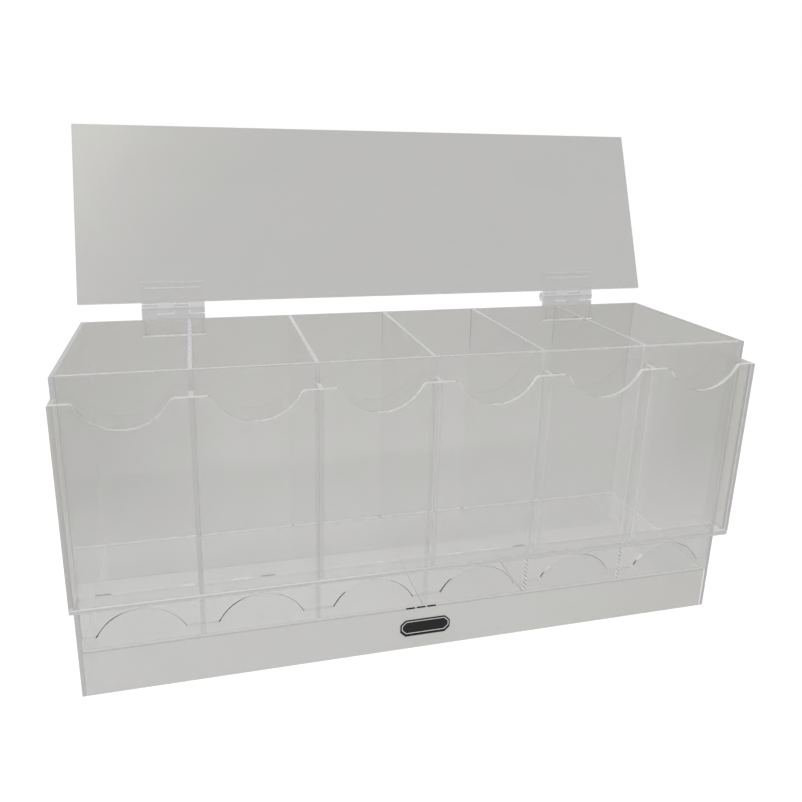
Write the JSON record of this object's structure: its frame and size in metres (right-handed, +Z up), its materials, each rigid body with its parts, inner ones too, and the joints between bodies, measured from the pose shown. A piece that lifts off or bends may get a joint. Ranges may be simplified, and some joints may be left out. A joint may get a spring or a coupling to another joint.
{
  "type": "booster pack dispenser",
  "caption": "Clear acrylic counter dispenser with lanes for card packs, a front dispensing slot with finger arches, display pockets on the front, and a rear-hinged lid standing open.",
  "frame": {"origin": "bottom centre of the bounding box with the lid open, on the table plane and on the cabinet's middle plane", "axes": "+X to the right as seen from the front, along the row of lanes; +Y towards the back, where the hinges are; +Z up"},
  "size_m": [0.452, 0.1992, 0.3484],
  "materials": {
    "clear_acrylic": "clear cast acrylic sheet, polished faces and edges",
    "hinge_plastic": "clear moulded acrylic, polished"
  },
  "bodies": {
    "cabinet": {"left_side_panel": "clear_acrylic", "right_side_panel": "clear_acrylic", "back_panel": "clear_acrylic", "front_lip": "clear_acrylic", "floor_shelf": "clear_acrylic", "front_panel": "clear_acrylic", "lane_divider_1": "clear_acrylic", "lane_divider_2": "clear_acrylic", "lane_divider_3": "clear_acrylic", "lane_divider_4": "clear_acrylic", "lane_divider_5": "clear_acrylic", "pocket_floor": "clear_acrylic", "pocket_front": "clear_acrylic", "pocket_divider_1": "clear_acrylic", "pocket_divider_2": "clear_acrylic", "pocket_divider_3": "clear_acrylic", "pocket_divider_4": "clear_acrylic", "pocket_divider_5": "clear_acrylic", "pocket_end_left": "clear_acrylic", "pocket_end_right": "clear_acrylic", "hinge_left_lower_leaf": "hinge_plastic", "hinge_left_pin": "hinge_plastic", "hinge_right_lower_leaf": "hinge_plastic", "hinge_right_pin": "hinge_plastic"},
    "lid": {"lid": "clear_acrylic", "hinge_left_upper_leaf": "hinge_plastic", "hinge_right_upper_leaf": "hinge_plastic"}
  },
  "joints": [
    {"name": "lid_hinge", "type": "hinge", "parent": "cabinet", "child": "lid", "pos_m": [0, 0.05, 0.2179], "axis": [1, 0, 0], "range_deg": [0, 112.5]}
  ]
}
